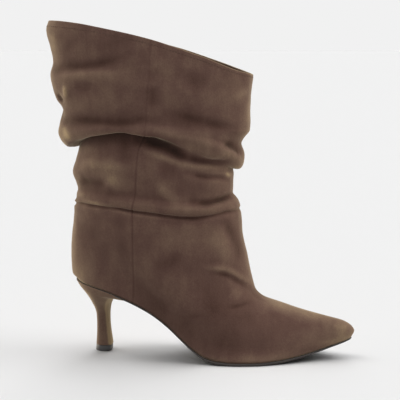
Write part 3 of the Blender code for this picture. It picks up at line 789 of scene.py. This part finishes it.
def makeUpper():
    angles = columnAngles(upper["around"])
    grid, underLip = upperGrid(angles)
    half = len(angles) // 2
    x, z = grid[:, :half + 1, 0], grid[:, :half + 1, 2]
    fromBack = np.degrees(angles[:half + 1])[None]
    own = window(fromBack, *upper["ownFolds"])
    (lift, tone), outer, inner = (creaseLift(x, z, folds) for folds in (creases, outerCreases, innerCreases))
    lift = bothSides(lift + own * outer[0], lift + own * inner[0], angles)
    # patches of nap, painted highlight and painted shade
    patches = sum(amount * np.exp(-((x - px) / length) ** 2 - ((z - pz) / height) ** 2)
                  for px, pz, length, height, amount in lightAndNapPatches)
    innerPatches = patches * (1 - upper["patchFade"] * window(fromBack, *upper["innerSide"]))
    tone = bothSides(tone + own * outer[1] + patches, tone + own * inner[1] + innerPatches, angles)
    # painted shade under the lip: it darkens the surface there and dims any painted highlight
    tone = np.where(tone > 0, tone * (1 - underLip), tone) + upper["underLipShade"] * underLip
    steps = np.linalg.norm(np.roll(grid, -1, axis=1) - grid, axis=2)
    roundAbout = np.cumsum(np.concatenate([np.zeros((len(grid), 1)), steps[:, :-1]], axis=1), axis=1)
    for column in (half // 2, half + half // 2):
        off = np.abs(roundAbout - roundAbout[:, column:column + 1])
        pull = np.interp(grid[:, column, 2], seam["fading"], (1.0, seam["faint"]))[:, None]
        lift -= pull * seam["depth"] * np.exp(-(off / seam["width"]) ** 2)
        lift += pull * seam["shoulder"] * np.exp(-((off - seam["shoulderAt"]) / seam["shoulderWidth"]) ** 2)
        tone += pull * seam["tone"] * np.exp(-(off / seam["toneWidth"]) ** 2)
    height = grid[:, :, 2]
    limp = np.clip((height - upper["limpFrom"]) / upper["limpOver"], upper["limpLeast"], 1)
    ripple = np.array([sum(share * noise.noise(Vector(point) / size) for size, share in upper["ripple"])
                       for point in grid.reshape(-1, 3)])
    lift += upper["rippleHeight"] * limp * ripple.reshape(height.shape)
    atFeather = np.clip(1 - np.abs(height - height[:1]) / upper["featherHeight"], 0, 1) ** 2
    lift[:upper["featherRows"]] -= upper["featherIn"] * atFeather[:upper["featherRows"]]
    grid = grid + outward(grid) * lift[:, :, None]
    grid[0, :, 2] = restLine(grid[0, :, 0])
    # ridges are painted paler and troughs darker: partly rubbed wear, partly painted highlight on the ridges and
    # painted shade in the troughs
    standing = np.einsum("rci,rci->rc", grid - smoothed(grid, upper["bumpSpread"]), outward(grid))
    tone += np.clip(standing * upper["bumpTone"], upper["bumpDarkest"], upper["bumpPalest"])
    return grid, tone, degreesFromBack(angles)


def makeUpperPiece():
    grid, nap, fromBack = makeUpper()
    rows, count = grid.shape[:2]
    normal = outward(grid)
    # turned edge at the collar
    climb = unit(grid[-1] - grid[-2])
    core = grid[-1] - upper["rim"] * normal[-1]
    turns = np.radians(upper["rimTurns"])
    rim = np.array([core + upper["rim"] * (math.cos(t) * normal[-1] + math.sin(t) * climb) for t in turns])
    outside = np.concatenate([grid, rim])
    edgeTone = upper["edgeTone"] + upper["frontEdgeTone"] * window(fromBack, *upper["frontEdge"])
    nap = np.concatenate([nap, np.repeat(nap[-1:] + edgeTone[None], len(rim), axis=0)])
    # the inside of the suede has half as many points each way
    softNormal = unit(smoothed(normal, upper["innerSoftness"]))
    picked = np.r_[np.arange(0, rows - 3, 2), rows - 2]
    inside = (grid - upper["suede"] * softNormal)[picked][:, ::2]
    inside[0, :, 2] = restLine(inside[0, :, 0])
    outerCount = outside.shape[0] * count
    points = np.concatenate([outside.reshape(-1, 3), inside.reshape(-1, 3)])
    faces = bandFaces(len(outside), count)
    faces += bandFaces(len(inside), count // 2, outerCount, flip=True)
    faces += halvingFaces(0, outerCount, count, flip=True)
    faces += halvingFaces(outerCount - count, outerCount + (len(inside) - 1) * (count // 2), count)
    # the nap attribute holds nap tone, painted shade and painted highlight
    shades = np.concatenate([nap.ravel(), np.zeros(len(points) - outerCount)])
    addPiece("upper_suede", points, faces, suede, "suede", "upper", attributes={"nap": shades})
    return grid, softNormal


grid, softNormal = makeUpperPiece()
rows = len(grid)


def makeLayer(name, picked, depths, material, slotName):
    # A thin closed layer that follows the wall between two depths under its surface.
    wall, normal = grid[picked][:, ::2], softNormal[picked][:, ::2]
    layers = np.array([wall - depth * normal for depth in depths])
    layers[..., 2] = np.maximum(layers[..., 2], restLine(layers[..., 0]))
    high, count = wall.shape[:2]
    size = high * count
    faces = bandFaces(high, count) + bandFaces(high, count, size, flip=True)
    faces += ringFaces(0, size, count, flip=True) + ringFaces(size - count, 2 * size - count, count)
    addPiece(name, layers.reshape(-1, 3), faces, material, slotName, sharp=50)


layer = {"lining": (1.3, 1.85), "facing": (1.92, 2.5), "facingRows": 21}
# the lining ends behind the facing, and both end below the turned edge
picked = np.r_[np.arange(0, rows - 6, 2), rows - 5, rows - 3]
makeLayer("lining", picked, layer["lining"], lining, "sock")
picked = np.r_[np.arange(rows - layer["facingRows"], rows - 3, 2), rows - 3, rows - 2]
makeLayer("collar_facing", picked, layer["facing"], facing, "suede")


# Stitches: one bead, repeated along a path

stitch = {
    "sizes": {"Spacing": 2.7, "Length": 2.0, "Thickness": 0.42},
    "runs": (("collar_stitches", -4, 0.02), ("facing_stitches", -18, -2.52)),     # row of the wall, height over it
}


def makeStitchTree():
    tree = bpy.data.node_groups.new("stitchRun", "GeometryNodeTree")
    tree.interface.new_socket("Geometry", in_out="INPUT", socket_type="NodeSocketGeometry")
    for label in stitch["sizes"]:
        tree.interface.new_socket(label, in_out="INPUT", socket_type="NodeSocketFloat")
    tree.interface.new_socket("Geometry", in_out="OUTPUT", socket_type="NodeSocketGeometry")
    given, result = tree.nodes.new("NodeGroupInput").outputs, tree.nodes.new("NodeGroupOutput")
    size = put(tree, "ShaderNodeCombineXYZ", X=given["Length"], Y=given["Thickness"], Z=given["Thickness"])
    bead = put(tree, "GeometryNodeMeshUVSphere", Segments=8, Rings=5, Radius=0.5)
    shaped = put(tree, "GeometryNodeTransform", Geometry=bead, Scale=size)
    line = put(tree, "GeometryNodeMeshToCurve", Mesh=given["Geometry"])
    spaced = put(tree, "GeometryNodeResampleCurve", {"mode": "LENGTH"}, Curve=line, Length=given["Spacing"])
    ahead = put(tree, "GeometryNodeInputTangent")
    turned = put(tree, "FunctionNodeAlignRotationToVector", {"axis": "X"}, Vector=ahead)
    placed = put(tree, "GeometryNodeInstanceOnPoints", Points=spaced, Instance=shaped, Rotation=turned)
    solid = put(tree, "GeometryNodeRealizeInstances", Geometry=placed)
    feed(tree, result, Geometry=put(tree, "GeometryNodeSetMaterial", Geometry=solid, Material=thread))
    return tree


stitchTree = makeStitchTree()


def makeStitches(name, path):
    mesh = bpy.data.meshes.new(name + "_path")
    count = len(path)
    mesh.from_pydata(toMetres(path).tolist(), [(i, (i + 1) % count) for i in range(count)], [])
    holder = addObject(name + "_path", mesh)
    run = holder.modifiers.new("stitches", "NODES")
    run.node_group = stitchTree
    sockets = {item.name: item.identifier for item in stitchTree.interface.items_tree if item.in_out == "INPUT"}
    for label, size in stitch["sizes"].items():
        run[sockets[label]] = size / 1000
    made = bpy.data.meshes.new_from_object(holder.evaluated_get(bpy.context.evaluated_depsgraph_get()))
    holder.modifiers.remove(run)
    bpy.data.objects.remove(holder)
    made.shade_smooth()
    joinBoot(name, made)


for name, row, over in stitch["runs"]:
    makeStitches(name, grid[row] + over * softNormal[row])


# The outsole, with fine grooves across the tread

outsole = {
    "around": 480, "across": 18, "grooveFrom": 128, "grooveTo": 222, "groovePitch": 7, "grooveSlant": 0.25,
    "grooveDepth": 0.45, "grooveEdge": 7, "edgeFade": 2, "endFade": 4,
    # top edge, side and rounded lower edge: inset, and height under the top or over the tread
    "rings": ((0.22, 0, None), (0.06, 0.08, None), (0, 0.22, None), (0, None, 0.4), (0.06, None, 0.2),
              (0.2, None, 0.06), (0.4, None, 0)),
}


def grooveLift(along, across, fromEdge):
    wave = np.cos(2 * math.pi * (along + outsole["grooveSlant"] * np.abs(across)) / outsole["groovePitch"])
    field = np.clip((fromEdge - outsole["grooveEdge"]) / outsole["edgeFade"], 0, 1)
    for inField in (along - outsole["grooveFrom"], outsole["grooveTo"] - along):
        field = field * np.clip(inField / outsole["endFade"], 0, 1)
    return outsole["grooveDepth"] * (0.5 + 0.5 * wave) ** 4 * field


def closedPlate(rings, across, levels, flip):
    # A stack of sole outlines, closed at both ends by rungs from side to side.
    count = len(rings[0])
    half = count // 2
    points = np.concatenate(rings)
    faces = bandFaces(len(rings), count, flip=flip)
    share = np.arange(1, across) / across
    for ring, level in zip((0, len(rings) - 1), levels):
        near, far = rings[ring][1:half], rings[ring][:half:-1]
        rungs = near[:, None] + (far - near)[:, None] * share[None, :, None]
        rungs[:, :, 2] = level(rungs[:, :, 0])
        if level is treadAt:
            fromEdge = np.minimum(share, 1 - share)[None] * np.linalg.norm(far - near, axis=1)[:, None]
            rungs[:, :, 2] += grooveLift(rungs[:, :, 0], rungs[:, :, 1], fromEdge)
        start = ring * count
        i = np.arange(1, half)
        onRungs = len(points) + np.arange(rungs[:, :, 0].size).reshape(len(rungs), across - 1)
        spots = np.column_stack([start + i, onRungs, start + count - i])
        quads = np.stack([spots[:-1, :-1], spots[1:, :-1], spots[1:, 1:], spots[:-1, 1:]], axis=2).reshape(-1, 4)
        faces += (quads[:, ::-1] if ring else quads).tolist()
        faces += [[start] + spots[0].tolist(), [start + half] + spots[-1].tolist()]
        points = np.concatenate([points, rungs.reshape(-1, 3)])
    return points, faces


def makeOutsole():
    rings = []
    for inset, under, over in outsole["rings"]:
        plan = soleOutline(outsole["around"], inset)
        level = soleTop(plan[:, 0]) - under if over is None else treadAt(plan[:, 0]) + over
        rings.append(np.column_stack([plan, level]))
    plate = closedPlate(rings, outsole["across"], (soleTop, treadAt), flip=True)
    addPiece("outsole_resin", *plate, resin, "sole", "outsole", sharp=50)


makeOutsole()


# The sock inside: inset and height of the rings round it
sock = {"around": 240, "inset": 2.7, "rings": ((0.0, 0.0), (0.0, 1.4), (0.25, 1.85), (0.8, 2.0))}


def makeSock():
    rings = []
    for inset, lift in sock["rings"]:
        plan = soleOutline(sock["around"], sock["inset"] + inset)
        rings.append(np.column_stack([plan, restLine(plan[:, 0]) + lift]))
    plate = closedPlate(rings, 1, (restLine, restLine), flip=False)
    addPiece("sock", *plate, sockLeather, "sock", "insole", sharp=50)


makeSock()


# The heel and its tip

heel = {
    "around": 128, "step": 0.9, "flat": 0.62, "seat": (4.4, 60.4, 26.2), "seatFill": (0.25, 0.5, 0.75),
    # the edge of the cover, drawn up over the sole: how far out, height over the sole's tread or top
    "cover": ((0.06, treadAt, -0.14), (0.08, soleTop, -0.34), (0.14, soleTop, -0.18), (0.26, soleTop, -0.14),
              (0.36, soleTop, -0.26), (0.38, treadAt, 0.1)),
    "coverLeast": 0.03, "coverAlong": (-20, -10, 40, 57), "edgeSamples": 2400,
    # lightness of the sides, the painted highlight on the breast, and the upper part, with the breast's degrees and
    # heights
    "tone": 0.11, "breastHighlight": 0.62, "highTone": 0.10, "breastDegrees": (118, 152, 208, 242),
    "breastHeights": (4, 8, 60, 70), "highHeights": (34, 46, 80, 90),
    # back x and z, front x and z, half width
    "rows": ((6, 62.6, 56, 49.6, 24.6), (9, 59.2, 47.6, 51.4, 23.6), (12.2, 55.4, 41.4, 51, 21.8),
             (15.2, 50.8, 37.7, 48.4, 18.8), (17.6, 45.8, 35, 44.8, 15.2), (20, 40.2, 33.5, 39.6, 11.6),
             (21.3, 33.7, 33.1, 33.7, 8.8), (21.5, 25.2, 33.4, 25.2, 7.1), (21.3, 16.7, 34.2, 16.7, 6.8),
             (21, 11, 35, 11, 7.1), (20.6, 5.7, 35.6, 5.7, 7.7)),
    "tip": ((20.9, 5.4, 35.2, 5.4, 7.4), (20.7, 5.2, 35.2, 5.2, 7.5), (tipBack, 0.7, 35.1, 0.7, 7.6),
            (20.35, 0.25, 34.9, 0.25, 7.45), (20.8, 0, 34.4, 0, 6.9)),
}


def heelLoop(row, angles):
    back, backZ, front, frontZ, halfWidth = row
    share = (1 - np.cos(angles)) / 2
    sine = np.sin(angles)
    across = -halfWidth * np.sign(sine) * np.abs(sine) ** (1 - heel["flat"] * share)
    return np.column_stack([back + (front - back) * share, across, backZ + (frontZ - backZ) * share])


def closedStack(stack):
    # A stack of loops with a fan over each end.
    rows, count = stack.shape[:2]
    size = rows * count
    points = np.concatenate([stack.reshape(-1, 3), [stack[0].mean(axis=0), stack[-1].mean(axis=0)]])
    fans = [(i, (i + 1) % count, size) for i in range(count)]
    fans += [(size + 1, size - count + (i + 1) % count, size - count + i) for i in range(count)]
    return points, bandFaces(rows, count, flip=True) + fans


def makeHeel():
    angles = evenAngles(heel["around"])
    back, front, halfWidth = heel["seat"]
    seat = heelLoop((back, 0.0, front, 0.0, halfWidth), angles)
    room = soleHalf(seat[:, 0], angles) - sole["gap"]
    seat[:, 1] = np.clip(seat[:, 1], -room, room)
    seat[:, 2] = treadAt(seat[:, 0]) - sole["gap"]
    # the cover is drawn up over the edge of the sole, less and less towards the breast
    outline = soleOutline(heel["edgeSamples"], 0)
    edge = outline[np.linalg.norm(outline[None] - seat[:, None, :2], axis=2).argmin(axis=1)]
    away = unit(edge - seat[:, :2])
    hold = heel["coverLeast"] + (1 - heel["coverLeast"]) * window(seat[:, :1], *heel["coverAlong"])
    cover = []
    for out, level, over in heel["cover"]:
        ring = np.column_stack([edge + out * away, level(edge[:, 0]) + over])
        cover.append(seat + (ring - seat) * hold)
    loops = [cover[-1]] + [heelLoop(row, angles) for row in heel["rows"]]
    knots = knotsAlong(loops)
    at = np.linspace(0, knots[-1], int(knots[-1] / heel["step"]))
    # the seat is filled in steps from its middle, so that it follows the curve of the sole
    middle = seat[:, :2].mean(axis=0)
    filled = [middle + (seat[:, :2] - middle) * share for share in heel["seatFill"]]
    filled = [np.column_stack([ring, treadAt(ring[:, 0]) - sole["gap"]]) for ring in filled]
    stack = np.concatenate([filled, [seat], cover[:-1], through(at, knots, loops)])
    # the breast of the heel is painted lighter than its sides, a painted highlight
    heights = stack[:, :, 2].mean(axis=1)[:, None]
    breast = window(np.degrees(angles), *heel["breastDegrees"]) * window(heights, *heel["breastHeights"])
    nap = heel["tone"] + heel["breastHighlight"] * breast + heel["highTone"] * window(heights, *heel["highHeights"])
    # nap tone with the painted highlight on the breast
    shades = np.r_[nap.ravel(), heel["tone"], heel["tone"]]
    addPiece("heel_cover", *closedStack(stack), suede, "suede", "heel", sharp=55, attributes={"nap": shades})
    tip = np.array([heelLoop(row, angles) for row in heel["tip"]])
    addPiece("heel_tip_rubber", *closedStack(tip), rubber, "top_lift", "heel_tip", sharp=40)


makeHeel()
